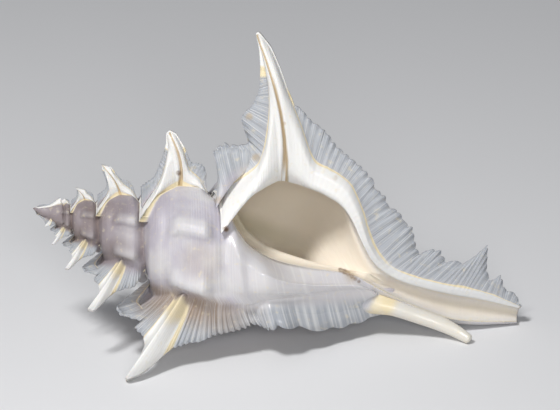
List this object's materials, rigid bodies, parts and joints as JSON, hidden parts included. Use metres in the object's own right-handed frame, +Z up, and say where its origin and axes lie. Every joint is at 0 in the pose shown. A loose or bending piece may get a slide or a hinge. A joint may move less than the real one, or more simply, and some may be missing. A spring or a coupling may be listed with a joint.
{
  "type": "murex shell",
  "caption": "Large white murex seashell with finned varices, long open-grooved spines, a wide aperture and a long siphonal canal, resting on two spines and the canal tip.",
  "frame": {"origin": "middle of the shell's bounding box as it rests, on the surface it rests on", "axes": "+X level, along the shell towards the tip of its siphonal canal; +Y level, away from the eye that looks into the aperture; +Z up"},
  "size_m": [0.146, 0.0914, 0.0935],
  "materials": {
    "shell": "porcelain-white natural shell, glossy inside the aperture and satin outside, with cream and tan stains"
  },
  "bodies": {
    "root": {"shell": "shell"}
  },
  "joints": []
}
